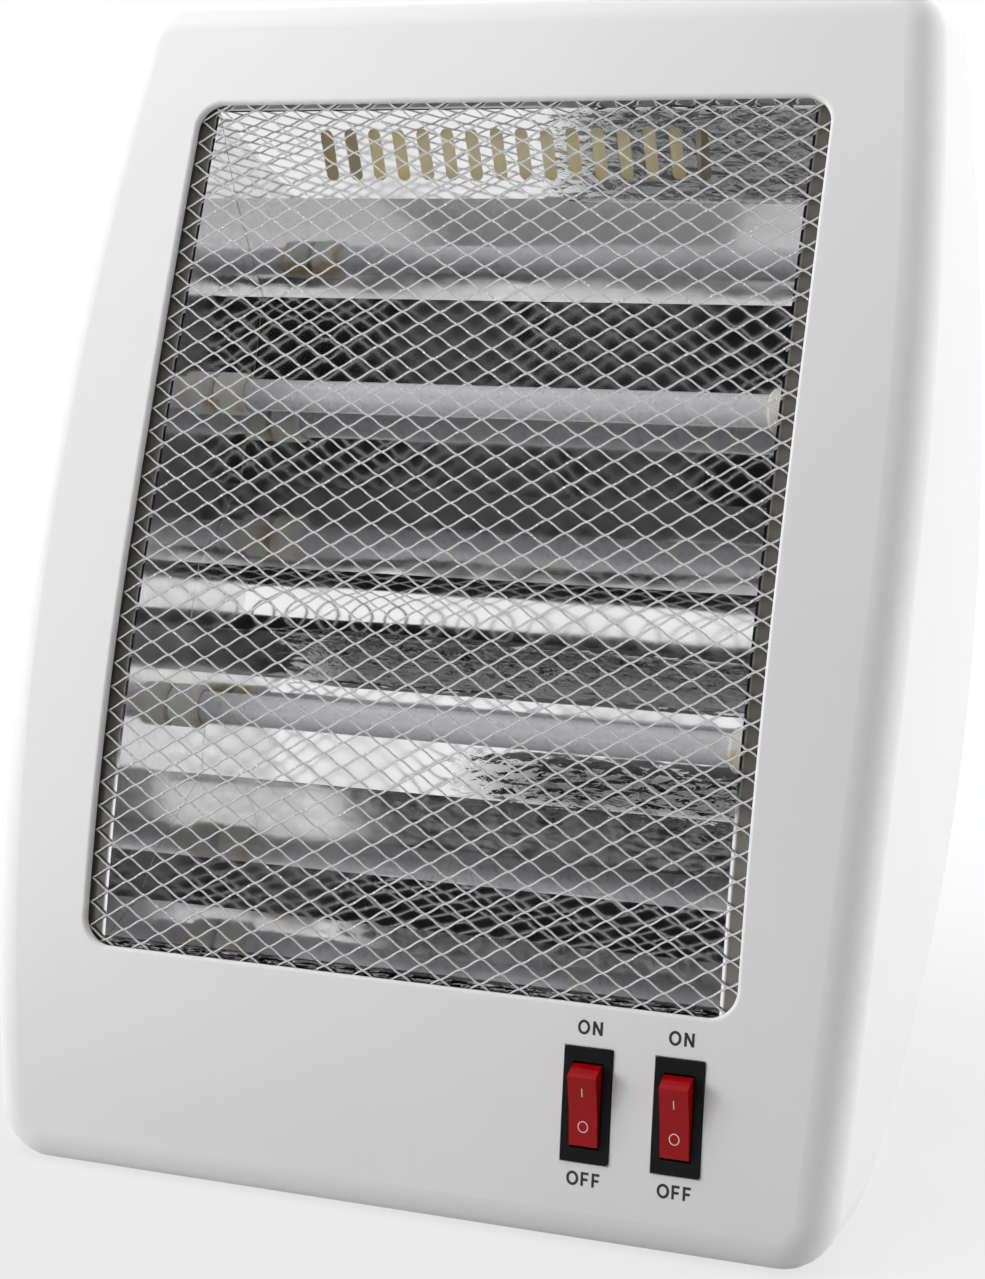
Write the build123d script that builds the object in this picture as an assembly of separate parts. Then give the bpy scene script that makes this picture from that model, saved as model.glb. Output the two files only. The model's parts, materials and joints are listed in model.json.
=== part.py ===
from build123d import *
from math import asin, atan2, cos, degrees, hypot, pi, radians, sin, sqrt
import os

os.makedirs("parts", exist_ok=True)

# A free-standing two-tube quartz heater. Millimetres, +Z up, the front towards -Y,
# the origin on the floor under the middle of the body.

# Body
body_height = 335.0
front_foot_height = 0.5
shell_wall = 2.0
edge_radius = 10.0
toe_drop = 1.65
fit_gap = 0.3
seat_gap = 0.1
overrun = 2.0

# Front panel, as two arcs that meet smoothly, measured along the face from the window sill
sill_height = 66.0
sill_lean = radians(9.9)
lower_front_radius = 630.0
upper_front_radius = 2650.0
join_rise = 114.0

# Side edge of the shell, seen from the side
head_depth = 28.4
crest_radius = 14.0
crest_sweep = radians(78)
haunch_height = 180.0
haunch_radius = 201.0

# Flanks, seen from the front
waist_half_width = 134.0
waist_height = 185.0
lower_flank_radius = 2060.0
upper_flank_radius = 1100.0
top_corner_radius = 13.0
bottom_corner_radius = 17.0

# Window
window_side_margin = 36.0
window_head_margin = 14.6
window_width = 2 * (waist_half_width - window_side_margin)
window_rise = body_height - sill_height - window_head_margin
window_corner_radius = 8.0
lip_radius = 1.2

# Guard net, rolled to the face's curve in flat strips
net_thickness = 0.8
net_slack = 0.4
net_margin = 3.5
net_strand = 1.3
net_columns = 8
net_rows = 17
net_strips = 8
net_depth = shell_wall + seat_gap

# Reflector
sheet = 0.5
plate_inset = 5.2
plate_half_span = window_width / 2 - plate_inset
flange_depth = net_depth + net_thickness + net_slack
flange_reach = window_width / 2 + 10.4
flange_screw_x = window_width / 2 + 6.9
flange_screw_inset = 30.0
flange_screw_rises = (flange_screw_inset, window_rise / 2, window_rise - flange_screw_inset)
flange_boss_radius = 2.6
flange_screw_radius = 1.2
flange_screw_head_radius = 2.4
flange_screw_head_height = 1.6
flange_screw_length = 2.8
slot_count = 16
slot_pitch = 7.8
slot_width = 4.0
slot_length = 16.0

# Tubes, as shares of the way up the window
tube_shares = {"upper": 0.68, "lower": 0.287}
tube_rises = {level: share * window_rise for level, share in tube_shares.items()}
tube_depth = 33.0

# Folds of the reflector from its head to its toe: distance above the sill and depth behind the face
plate_toe_rise = -8.0
plate_head_rise = window_rise + 7.6
reflector_folds = (
    (plate_head_rise, flange_depth),
    (window_rise - 1.4, flange_depth),
    (window_rise - 21.4, 22.0),
    (window_rise - 43.4, 50.0),
    (tube_rises["upper"] - 23.0, 55.0),
    (tube_rises["upper"] - 53.5, 36.0),
    (tube_rises["lower"] + 26.0, 36.0),
    (tube_rises["lower"] + 13.0, 52.0),
    (tube_rises["lower"] - 21.0, 55.0),
    (26.0, 30.0),
    (12.0, 22.0),
    (1.4, flange_depth),
    (plate_toe_rise, flange_depth),
)
plate_back = (
    (plate_head_rise, 10.0),
    (window_rise - 41.4, 51.5),
    (tube_rises["upper"] - 23.0, 56.5),
    (tube_rises["lower"] - 25.0, 57.0),
    (plate_toe_rise, 10.0),
)

# Quartz tubes and their ceramic sockets
tube_radius = 4.8
tube_bore_radius = 3.8
tube_inset = 5.0
tube_half_length = plate_half_span - tube_inset
socket_radius = 6.5
socket_length = 10.3
socket_neck_radius = 3.6
socket_neck_length = 4.0
tube_fit = 0.15
stud_radius = 1.6
stud_length = 7.0
nut_width = 5.5
nut_height = 2.4
coil_radius = 2.4
socket_edge_bevel = 0.9
lug_thickness = 0.8
coil_wire = 0.9
tail_radius = 0.7

# Rocker switches
switch_rise = -27.4
switch_inset = 14.0
switch_pitch = 25.6
switch_x = {
    "left": window_width / 2 - switch_inset - switch_pitch,
    "right": window_width / 2 - switch_inset,
}
bezel_width = 13.5
bezel_height = 31.2
bezel_thickness = 1.0
bezel_sink = 0.7
bezel_corner_radius = 0.6
latch_top = 3.4
latch_height = 0.8
latch_length = 3.5
switch_body_width = 11.6
switch_body_height = 28.4
switch_body_depth = 18.0
well_width = 8.6
well_length = 23.4
well_depth = 6.6
rocker_width = 8.0
rocker_reach = 11.4
rocker_half_angle = radians(60)
rocker_tilt = radians(12)
rocker_dish = 0.7
rocker_hub_radius = 3.2
pivot_depth = 2.5
pin_radius = 1.05
pin_length = 1.1
pin_play = 0.08
tab_width = 4.8
tab_thickness = 0.8
tab_length = 8.0
tab_pitch = 9.0

# Rear cover with its base housing
cover_recess = 5.0
cover_wall = 2.0
base_side_margin = 29.0
base_half_width = waist_half_width - base_side_margin
base_top = haunch_height + 25.0
base_setback = 2.5
base_corner_radius = 8.0
louvre_width = base_half_width - 27.0
louvre_bridge = 14.0
louvre_x = (louvre_width + louvre_bridge) / 2
louvre_height = 4.0
louvre_pitch = 9.0
base_louvre_low = 62.0
upper_louvre_low = base_top + 13.0
grip_width = 104.0
grip_height = 32.0
grip_high = body_height - 31.0
grip_low = grip_high - grip_height
grip_depth = 14.0
grip_corner_radius = 7.0
base_louvre_count = int((base_top - base_louvre_low) / louvre_pitch - 1)
upper_louvre_count = int((grip_low - upper_louvre_low) / louvre_pitch - 1)

# Screws
screw_side_margin = 21.0
screw_x = waist_half_width - screw_side_margin
screw_heights = (110.0, 196.0, body_height - 29.0)
screw_shank_radius = 1.5
screw_head_radius = 3.0
screw_head_height = 2.0
screw_length = 11.0
screw_play = 0.2
head_edge_bevel = 0.6
cross_slot_width = 0.8
boss_radius = 4.0
pad_radius = 5.0
pad_thickness = 6.0

# Feet
front_foot_radius = 5.5
front_foot_side_margin = 39.0
front_foot_x = waist_half_width - front_foot_side_margin
front_foot_setback = 15.0
rear_foot_radius = 7.0
rear_foot_side_margin = 17.0
rear_foot_x = base_half_width - rear_foot_side_margin
rear_foot_inset = 14.0
foot_stem_radius = 2.0
foot_barb_radius = 2.8
foot_barb_tip_radius = 1.4
foot_barb_height = 2.0
foot_edge_bevel = 0.3

# Tip-over switch in the base
tip_x = 45.0 - base_half_width
tip_y_from_rim = 52.0
plunger_radius = 2.5
plunger_play = 0.08
plunger_tip_bevel = 0.9
plunger_travel = 6.0
plunger_collar_radius = 4.2
plunger_collar_height = 1.5
tip_width = 24.0
tip_depth = 16.0
tip_guide_height = 6.0
tip_chamber_height = 18.0
tip_chamber_radius = 4.8
tip_roof = 2.0
tip_corner_radius = 1.5
tip_tab_offset = 6.0
spring_wire_radius = 0.35
spring_wire_sides = 6
spring_radius = 3.3
spring_turns = 6

# Cord gland and terminal block
gland_x = base_half_width - 35.0
gland_z = 30.0
gland_bore_radius = 3.25
gland_neck_radius = 5.5
gland_flange_radius = 8.0
gland_flange_thickness = 3.6
gland_length = 12.0

# Where things lie, worked out from the sizes above
shell_bottom = front_foot_height
outline_bottom = shell_bottom - toe_drop
join_lean = sill_lean + join_rise / lower_front_radius


# The front panel's curve
def lean_at(rise):
    if rise <= join_rise:
        return sill_lean + rise / lower_front_radius
    return join_lean + (rise - join_rise) / upper_front_radius


def from_sill(rise, depth=0.0):
    """How far back and how far up from the sill a point of the panel lies."""
    lean = lean_at(rise)
    low_lean = min(lean, join_lean)
    back = lower_front_radius * (cos(sill_lean) - cos(low_lean))
    up = lower_front_radius * (sin(low_lean) - sin(sill_lean))
    if rise > join_rise:
        back += upper_front_radius * (cos(join_lean) - cos(lean))
        up += upper_front_radius * (sin(lean) - sin(join_lean))
    return (back + depth * cos(lean), up - depth * sin(lean))


def rise_at(height, depth=0.0):
    """Distance along the face at which the curve depth behind it reaches this height."""
    up = height - sill_height
    if up <= from_sill(join_rise, depth)[1]:
        centre = -lower_front_radius * sin(sill_lean)
        lean = asin((up - centre) / (lower_front_radius - depth))
        return (lean - sill_lean) * lower_front_radius
    centre = from_sill(join_rise)[1] - upper_front_radius * sin(join_lean)
    lean = asin((up - centre) / (upper_front_radius - depth))
    return join_rise + (lean - join_lean) * upper_front_radius


head_reach = from_sill(rise_at(body_height))[0]
toe_reach = -from_sill(rise_at(outline_bottom + edge_radius))[0]
rim_depth = head_reach + head_depth
sill_y = (toe_reach - rim_depth) / 2
rim_y = sill_y + rim_depth


def front_point(rise, depth=0.0):
    """Place (y, z) that lies rise along the face above the sill and depth behind the face."""
    back, up = from_sill(rise, depth)
    return (sill_y + back, sill_height + up)


def front_curve(low_rise, high_rise, depth):
    """The panel's two arcs at one depth, from the low end to the high end."""
    middle = (low_rise + join_rise) / 2
    above = (join_rise + high_rise) / 2
    lower = ThreePointArc(
        front_point(low_rise, depth), front_point(middle, depth), front_point(join_rise, depth)
    )
    upper = ThreePointArc(
        front_point(join_rise, depth), front_point(above, depth), front_point(high_rise, depth)
    )
    return [lower, upper]


def rear_curve(inset, low):
    """The rim's curve drawn in by inset, from above the crest down to the height low."""
    centre_y = rim_y - crest_radius
    centre_z = body_height - crest_radius
    radius = crest_radius - inset
    turn = (cos(crest_sweep), sin(crest_sweep))
    start = (centre_y + radius * turn[0], centre_z + radius * turn[1])
    run = (body_height - inset + overrun - start[1]) / turn[0]
    approach = Line((start[0] - run * turn[1], start[1] + run * turn[0]), start)
    crest = RadiusArc(start, (rim_y - inset, centre_z), radius)
    back = Line((rim_y - inset, centre_z), (rim_y - inset, haunch_height))
    haunch_y = rim_y - haunch_radius
    haunch_inner = haunch_radius - inset
    sweep = asin((haunch_height - low) / haunch_inner)
    haunch = ThreePointArc(
        (rim_y - inset, haunch_height),
        (haunch_y + haunch_inner * cos(sweep / 2), haunch_height - haunch_inner * sin(sweep / 2)),
        (haunch_y + haunch_inner * cos(sweep), low),
    )
    return [approach, crest, back, haunch]


def side_face(edges):
    return Plane.YZ * make_face(edges)


def across(face, half_width):
    """Solid of a side outline, half_width to either side of the middle."""
    return extrude(face, amount=half_width, both=True)


def shell_side(inset):
    """Side outline of the shell, a little taller than the shell at the top and bottom."""
    low = outline_bottom + inset - overrun
    high = body_height - inset + overrun
    front = front_curve(rise_at(low, inset), rise_at(high, inset), inset)
    rear = rear_curve(inset, low)
    top = Line(front[-1] @ 1, rear[0] @ 0)
    bottom = Line(rear[-1] @ 1, front[0] @ 0)
    return side_face(front + [top] + rear + [bottom])


def cavity_side(inset):
    """Side outline of the hollow, open past the rim."""
    low = outline_bottom + inset - overrun
    high = body_height - inset + overrun
    crest_z = body_height - crest_radius
    beyond = rim_y + rim_depth
    front = front_curve(rise_at(low, inset), rise_at(high, inset), inset)
    approach, crest = rear_curve(inset, low)[:2]
    top = Line(front[-1] @ 1, approach @ 0)
    out = Polyline((rim_y - inset, crest_z), (beyond, crest_z), (beyond, low), front[0] @ 0)
    return side_face(front + [top, approach, crest, out])


def ahead_of_rear(inset):
    """Everything ahead of the rim's curve drawn in by inset."""
    below = shell_bottom - haunch_radius / 20
    far = -rim_depth * 2
    above = body_height * 1.2
    rear = rear_curve(inset, below)[1:]
    top_y = (rear[0] @ 0).X
    close = Polyline(rear[-1] @ 1, (far, below), (far, above), (top_y, above), rear[0] @ 0)
    return side_face(rear + [close])


def flank_x(height, inset=0.0):
    radius = lower_flank_radius if height < waist_height else upper_flank_radius
    centre = waist_half_width - radius
    return centre + sqrt((radius - inset) ** 2 - (height - waist_height) ** 2)


def front_outline(inset):
    """Front outline of the body, drawn in all round."""
    low = outline_bottom + inset
    high = body_height - inset
    halfway_low = (low + waist_height) / 2
    halfway_high = (waist_height + high) / 2
    waist = waist_half_width - inset
    edges = []
    for side in (1, -1):
        edges.append(
            ThreePointArc(
                (side * flank_x(low, inset), low),
                (side * flank_x(halfway_low, inset), halfway_low),
                (side * waist, waist_height),
            )
        )
        edges.append(
            ThreePointArc(
                (side * waist, waist_height),
                (side * flank_x(halfway_high, inset), halfway_high),
                (side * flank_x(high, inset), high),
            )
        )
    edges.append(Line((-flank_x(low, inset), low), (flank_x(low, inset), low)))
    edges.append(Line((-flank_x(high, inset), high), (flank_x(high, inset), high)))
    face = make_face(edges)
    top_corners = face.vertices().filter_by(lambda v: abs(v.Y - high) < 0.01)
    face = fillet(top_corners, top_corner_radius - inset)
    bottom_corners = face.vertices().filter_by(lambda v: abs(v.Y - low) < 0.01)
    bottom_corners = bottom_corners.filter_by(lambda v: abs(v.X) > flank_x(low, inset) - 1)
    return fillet(bottom_corners, bottom_corner_radius - inset)


def through(face):
    """Solid of a front outline, running through the whole depth."""
    return extrude(Plane.XZ * face, amount=rim_depth * 2, both=True)


def on_front_edge(edge, inset):
    """Whether an edge runs round the front panel."""
    heights = [(edge @ share).Z for share in (0, 0.5, 1)]
    if max(heights) - min(heights) < 0.01 and abs(heights[0] - front_point(join_rise, inset)[1]) < 0.1:
        return False
    for share in (0, 0.5, 1):
        place = edge @ share
        expected = front_point(rise_at(place.Z, inset), inset)[0]
        if abs(place.Y - expected) > 0.05:
            return False
    return True


def rounded_front(body, inset):
    edges = body.edges().filter_by(lambda e: on_front_edge(e, inset))
    return fillet(edges, edge_radius - inset)


def above(height):
    """Everything over this height, which cuts the rounded toe off flat."""
    reach = 2 * waist_half_width
    return box(-reach, reach, -reach, 2 * reach, height, 2 * body_height)


def shell_solid(inset):
    body = across(shell_side(inset), waist_half_width * 1.1) & through(front_outline(inset))
    return rounded_front(body, inset) & above(shell_bottom + inset)


def cavity_solid(inset):
    body = across(cavity_side(inset), waist_half_width * 1.1) & through(front_outline(inset))
    return rounded_front(body, inset) & above(shell_bottom + inset)


def behind_face(depth):
    """Everything more than depth behind the front face."""
    low = rise_at(shell_bottom - overrun, depth)
    high = rise_at(body_height + overrun, depth)
    front = front_curve(low, high, depth)
    beyond = rim_y + rim_depth
    top = (front[-1] @ 1).Y
    bottom = (front[0] @ 0).Y
    close = Polyline(front[-1] @ 1, (beyond, top), (beyond, bottom), front[0] @ 0)
    return across(side_face(front + [close]), waist_half_width * 1.1)


# The window's plane runs along the chord between its sill and its head
sill_point = front_point(0)
head_point = front_point(window_rise)
window_lean = atan2(head_point[0] - sill_point[0], head_point[1] - sill_point[1])
window_height = hypot(head_point[0] - sill_point[0], head_point[1] - sill_point[1])
window_plane = Plane(
    origin=(0, *sill_point), x_dir=(1, 0, 0), z_dir=(0, -cos(window_lean), sin(window_lean))
)


def window_prism():
    """Prism of the window's outline, through the front panel."""
    outline = RectangleRounded(window_width, window_height, window_corner_radius)
    outline = Pos(0, window_height / 2) * outline
    return extrude(window_plane * outline, amount=rim_depth / 4, both=True)


# The switches' frame: x to the right, y up the panel, z out of it, from the top of the bezel
switch_origin = front_point(switch_rise, bezel_sink - bezel_thickness)
switch_lean = lean_at(switch_rise)


def switch_frame(x):
    return Plane(
        origin=(x, *switch_origin),
        x_dir=(1, 0, 0),
        z_dir=(0, -cos(switch_lean), sin(switch_lean)),
    )


def box(x_low, x_high, y_low, y_high, z_low, z_high):
    corner = Pos((x_low + x_high) / 2, (y_low + y_high) / 2, (z_low + z_high) / 2)
    return corner * Box(x_high - x_low, y_high - y_low, z_high - z_low)


def rod_x(radius, x_low, x_high, y, z):
    return Pos((x_low + x_high) / 2, y, z) * Rot(0, 90, 0) * Cylinder(radius, x_high - x_low)


def rod_y(radius, y_low, y_high, x, z):
    return Pos(x, (y_low + y_high) / 2, z) * Rot(90, 0, 0) * Cylinder(radius, y_high - y_low)


def rod_z(radius, z_low, z_high, x, y):
    return Pos(x, y, (z_low + z_high) / 2) * Cylinder(radius, z_high - z_low)


def cover_y(height):
    """Rear face of the rear cover's plate at this height."""
    radius = haunch_radius - cover_recess
    if height > haunch_height:
        return rim_y - cover_recess
    return rim_y - haunch_radius + sqrt(radius**2 - (haunch_height - height) ** 2)


def pad_face_y(height):
    """Seat of a screw head on the rear cover."""
    return cover_y(height + pad_radius)


def boss_end_y(height):
    return pad_face_y(height) - pad_thickness - seat_gap


def mirrored(shape):
    return mirror(shape, about=Plane.YZ)


def band(depth, thickness, low_rise, high_rise, x_low, x_high):
    """Curved sheet that follows the front face at a depth."""
    outer = front_curve(low_rise, high_rise, depth)
    inner = front_curve(low_rise, high_rise, depth + thickness)
    ends = [Line(outer[0] @ 0, inner[0] @ 0), Line(outer[-1] @ 1, inner[-1] @ 1)]
    face = Pos(x_low, 0, 0) * side_face(outer + inner + ends)
    return extrude(face, amount=x_high - x_low, dir=(1, 0, 0))


def face_frame(x, rise, depth):
    """Frame on the panel's curve: x to the right, y up, z out of the face."""
    lean = lean_at(rise)
    return Plane(
        origin=(x, *front_point(rise, depth)), x_dir=(1, 0, 0), z_dir=(0, -cos(lean), sin(lean))
    )


def is_lip_edge(edge):
    """Whether an edge runs round the window on the front face."""
    if abs((edge @ 0.5).X) > window_width / 2 + 0.1:
        return False
    for share in (0, 0.5, 1):
        place = edge @ share
        if not sill_point[1] - 1 < place.Z < head_point[1] + 1:
            return False
        if abs(place.Y - front_point(rise_at(place.Z))[0]) > 0.05:
            return False
    return True


# Where the feet stand
toe_y = front_point(rise_at(outline_bottom + edge_radius))[0]
base_back = rim_y - base_setback
base_bottom = shell_bottom + shell_wall + fit_gap
base_floor = base_bottom + cover_wall
rim_toe_y = (rear_curve(0, shell_bottom)[-1] @ 1).X
front_foot_y = toe_y + front_foot_setback
rear_foot_y = base_back - rear_foot_inset


def make_front_cover():
    cover = shell_solid(0) - cavity_solid(shell_wall) - window_prism()
    cover = fillet(cover.edges().filter_by(is_lip_edge), lip_radius)
    seat = Pos(0, 0, -bezel_thickness) * Box(
        bezel_width + 2 * fit_gap,
        bezel_height + 2 * fit_gap,
        shell_wall * 2,
        align=(Align.CENTER, Align.CENTER, Align.MIN),
    )
    hole = Box(
        switch_body_width + 2 * fit_gap, switch_body_height + 2 * fit_gap, shell_wall * 5
    )
    for x in switch_x.values():
        cover = cover - switch_frame(x) * (seat + hole)
    room = behind_face(shell_wall / 2)
    for height in screw_heights:
        end = boss_end_y(height)
        start = front_point(rise_at(height))[0] - shell_wall
        boss = rod_y(boss_radius, start, end, screw_x, height) & room
        bore = rod_y(screw_shank_radius + seat_gap, end - screw_length, end + 1, screw_x, height)
        cover = cover + boss + mirrored(boss)
        cover = cover - bore - mirrored(bore)
    boss_length = flange_depth - seat_gap - shell_wall / 2
    boss = Cylinder(flange_boss_radius, boss_length, align=(Align.CENTER, Align.CENTER, Align.MIN))
    bore = Cylinder(
        flange_screw_radius + seat_gap / 2,
        flange_screw_length - sheet,
        align=(Align.CENTER, Align.CENTER, Align.MIN),
    )
    for rise in flange_screw_rises:
        frame = face_frame(flange_screw_x, rise, flange_depth - seat_gap)
        cover = cover + frame * boss + mirrored(frame * boss)
        cover = cover - frame * bore - mirrored(frame * bore)
    hole = rod_z(
        foot_stem_radius + seat_gap, 0, base_bottom, front_foot_x, front_foot_y
    )
    return cover - hole - mirrored(hole)


def make_rear_cover():
    inside = across(ahead_of_rear(cover_recess + cover_wall), waist_half_width * 1.1)
    plate = across(shell_side(cover_recess), waist_half_width * 1.1)
    plate = plate & through(front_outline(shell_wall + fit_gap)) & above(base_bottom)
    plate = plate - inside
    base_front = rim_toe_y - pad_thickness
    outer = box(-base_half_width, base_half_width, base_front, base_back, base_bottom, base_top)
    outer = fillet(
        outer.edges().filter_by(lambda e: (e @ 0.5).Y > base_front + 1 and not on_floor(e)),
        base_corner_radius,
    )
    reach = base_half_width - cover_wall
    inner = box(
        -reach, reach, base_front - 9, base_back - cover_wall, base_floor, base_top - cover_wall
    )
    inner = fillet(
        inner.edges().filter_by(lambda e: (e @ 0.5).Y > base_front + 1 and not on_floor(e)),
        base_corner_radius - cover_wall,
    )
    cover = (plate - inner) + (outer - inner - inside)
    pocket = Pos(0, (grip_low + grip_high) / 2) * RectangleRounded(
        grip_width, grip_high - grip_low, grip_corner_radius
    )
    pocket_wall = offset(pocket, cover_wall)
    pocket_y = rim_y - cover_recess - grip_depth
    pocket_shell = Pos(0, rim_y - cover_recess, 0) * extrude(
        Plane.XZ * pocket_wall, amount=grip_depth + cover_wall
    )
    pocket_room = Pos(0, rim_y + 1, 0) * extrude(
        Plane.XZ * pocket, amount=rim_y + 1 - pocket_y
    )
    cover = cover + pocket_shell - pocket_room
    slot = SlotOverall(louvre_width, louvre_height)
    louvres = []
    for x in (-louvre_x, louvre_x):
        for row in range(base_louvre_count):
            louvres.append(Pos(x, base_louvre_low + row * louvre_pitch) * slot)
        for row in range(upper_louvre_count):
            louvres.append(Pos(x, upper_louvre_low + row * louvre_pitch) * slot)
    cut = Pos(0, rim_y + 1, 0) * extrude(
        Plane.XZ * Sketch(louvres), amount=cover_recess + cover_wall + 2
    )
    cover = cover - cut
    for height in screw_heights:
        face = pad_face_y(height)
        pad = rod_y(pad_radius, face - pad_thickness, face, screw_x, height)
        hole = rod_y(screw_shank_radius + screw_play, face - 2 * pad_thickness, rim_y, screw_x, height)
        cover = cover + pad + mirrored(pad)
        cover = cover - hole - mirrored(hole)
    cover = cover - rod_y(gland_neck_radius + seat_gap, base_back - 5, rim_y, gland_x, gland_z)
    cover = cover - rod_z(plunger_radius + 2 * fit_gap, 0, base_floor + 1, tip_x, tip_y)
    foot_hole = rod_z(foot_stem_radius + seat_gap, 0, base_floor + 1, rear_foot_x, rear_foot_y)
    return cover - foot_hole - mirrored(foot_hole)


def on_floor(edge):
    return abs((edge @ 0.5).Z - base_bottom) < 0.01 or abs((edge @ 0.5).Z - base_floor) < 0.01


def ribbon(points, thickness):
    """Outline of a folded strip of even thickness, given the line along its front."""
    shifted = []
    for index, (y, z) in enumerate(points):
        before = points[max(index - 1, 0)]
        after = points[min(index + 1, len(points) - 1)]
        directions = []
        for start, end in ((before, (y, z)), ((y, z), after)):
            run = hypot(end[0] - start[0], end[1] - start[1])
            if run > 0:
                directions.append(((end[0] - start[0]) / run, (end[1] - start[1]) / run))
        normals = [(-z_part, y_part) for y_part, z_part in directions]
        total_y = sum(normal[0] for normal in normals)
        total_z = sum(normal[1] for normal in normals)
        size = (total_y * normals[0][0] + total_z * normals[0][1]) / thickness
        shifted.append((y + total_y / size, z + total_z / size))
    return Polyline(*points, *reversed(shifted), close=True)


def make_reflector():
    points = [front_point(rise, depth) for rise, depth in reflector_folds]
    outline = side_face([ribbon(points, sheet)])
    sheet_metal = across(outline, plate_half_span - seat_gap)
    top = front_point(*reflector_folds[1])
    bottom = front_point(*reflector_folds[2])
    lean = atan2(top[1] - bottom[1], bottom[0] - top[0])
    middle = (0, (top[0] + bottom[0]) / 2, (top[1] + bottom[1]) / 2)
    frame = Plane(origin=middle, x_dir=(1, 0, 0), z_dir=(0, -sin(lean), -cos(lean)))
    first = -slot_pitch * (slot_count - 1) / 2
    slots = []
    slot = Rot(0, 0, 90) * SlotOverall(slot_length, slot_width)
    for index in range(slot_count):
        slots.append(Pos(first + index * slot_pitch, 0) * slot)
    return sheet_metal - extrude(frame * Sketch(slots), amount=3 * sheet, both=True)


def make_reflector_side():
    """Right-hand end plate with its outward flange."""
    outer = front_curve(plate_toe_rise, plate_head_rise, flange_depth)
    back = Polyline(
        outer[-1] @ 1, *[front_point(rise, depth) for rise, depth in plate_back], outer[0] @ 0
    )
    plate = Pos(plate_half_span, 0, 0) * side_face(outer + [back])
    plate = extrude(plate, amount=sheet, dir=(1, 0, 0))
    flange = band(flange_depth, sheet, plate_toe_rise, plate_head_rise, plate_half_span, flange_reach)
    side = plate + flange
    for rise in tube_rises.values():
        y, z = front_point(rise, tube_depth)
        side = side - rod_x(socket_neck_radius + seat_gap, plate_half_span - 1, plate_half_span + 2, y, z)
    for rise in flange_screw_rises:
        frame = face_frame(flange_screw_x, rise, flange_depth)
        side = side - frame * Cylinder(flange_screw_radius + screw_play, 4 * sheet)
    return side


def net_gap(x, y, half_x, half_y):
    """Diamond between crossing strands, or the half or quarter that lies inside the window."""
    inside = []
    for across_x, up_y in ((1, 0), (0, 1), (-1, 0), (0, -1)):
        corner = (x + across_x * half_x, y + up_y * half_y)
        beyond = max(abs(corner[0]) - window_width / 2, -corner[1], corner[1] - window_height)
        if beyond < half_y / 100:
            inside.append(corner)
    if len(inside) == 2:
        inside.append((x, y))
    return Wire(Polyline(*inside, close=True).edges())


def make_guard_net():
    """Expanded-metal net, its strands between two staggered rows of diamonds."""
    half_width = window_width / 2 + net_margin
    pitch_x = window_width / net_columns
    pitch_y = window_height / net_rows
    share = 1 - net_strand * hypot(1 / pitch_x, 1 / pitch_y)
    gaps = []
    for row in range(2 * net_rows + 1):
        staggered = row % 2
        for column in range(net_columns + 1 - staggered):
            x = (column + staggered / 2 - net_columns / 2) * pitch_x
            gaps.append(net_gap(x, row * pitch_y / 2, pitch_x / 2 * share, pitch_y / 2 * share))
    margin = Rectangle(2 * half_width, window_height + 4 * net_margin)
    margin = Pos(0, window_height / 2) * margin
    holed = extrude(window_plane * Face(margin.wire(), gaps), amount=rim_depth / 4, both=True)
    step = (window_rise + 2 * net_margin) / net_strips
    rises = [index * step - net_margin for index in range(net_strips + 1)]
    front = [front_point(rise, net_depth) for rise in rises]
    back = [front_point(rise, net_depth + net_thickness) for rise in reversed(rises)]
    sheet_metal = across(side_face([Polyline(*front, *back, close=True)]), half_width)
    return sheet_metal & holed


def make_tube(rise):
    y, z = front_point(rise, tube_depth)
    tube = rod_x(tube_radius, -tube_half_length, tube_half_length, y, z)
    return tube - rod_x(tube_bore_radius, -tube_half_length - 1, tube_half_length + 1, y, z)


socket_face_x = plate_half_span - seat_gap - socket_length
neck_end_x = plate_half_span + socket_neck_length


def make_socket(rise):
    """Right-hand ceramic socket of one tube."""
    y, z = front_point(rise, tube_depth)
    body = rod_x(socket_radius, socket_face_x, plate_half_span - seat_gap, y, z)
    body = chamfer(body.edges().filter_by(GeomType.CIRCLE), socket_edge_bevel)
    neck = rod_x(socket_neck_radius, plate_half_span - 1, neck_end_x, y, z)
    bore = rod_x(tube_radius + tube_fit, socket_face_x - 1, tube_half_length + tube_fit, y, z)
    passage = rod_x(tail_radius + seat_gap, socket_face_x, neck_end_x + 1, y, z)
    return body + neck - bore - passage


def make_coil(rise):
    """Heating coil as the cylinder that its turns fill, with its two straight tails."""
    y, z = front_point(rise, tube_depth)
    reach = socket_face_x
    core = rod_x(coil_radius, -reach, reach, y, z)
    core = core - rod_x(coil_radius - coil_wire, -reach + coil_wire, reach - coil_wire, y, z)
    tail = rod_x(tail_radius, reach - coil_wire, neck_end_x, y, z)
    return core + tail + mirrored(tail)


def make_terminal_studs():
    studs = []
    for rise in tube_rises.values():
        y, z = front_point(rise, tube_depth)
        washer = rod_x(socket_neck_radius, neck_end_x, neck_end_x + 1, y, z)
        stud = washer + rod_x(stud_radius, neck_end_x, neck_end_x + stud_length, y, z)
        studs += [stud, mirrored(stud)]
    return Compound(children=studs)


def make_terminal_nuts():
    nuts = []
    for rise in tube_rises.values():
        y, z = front_point(rise, tube_depth)
        start = neck_end_x + 1 + lug_thickness
        nut = extrude(RegularPolygon(nut_width / 2, 6, major_radius=False), amount=nut_height)
        nut = nut - Cylinder(stud_radius + seat_gap / 2, 4 * nut_height)
        nut = Pos(start, y, z) * Rot(0, 90, 0) * nut
        nuts += [nut, mirrored(nut)]
    return Compound(children=nuts)


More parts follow.
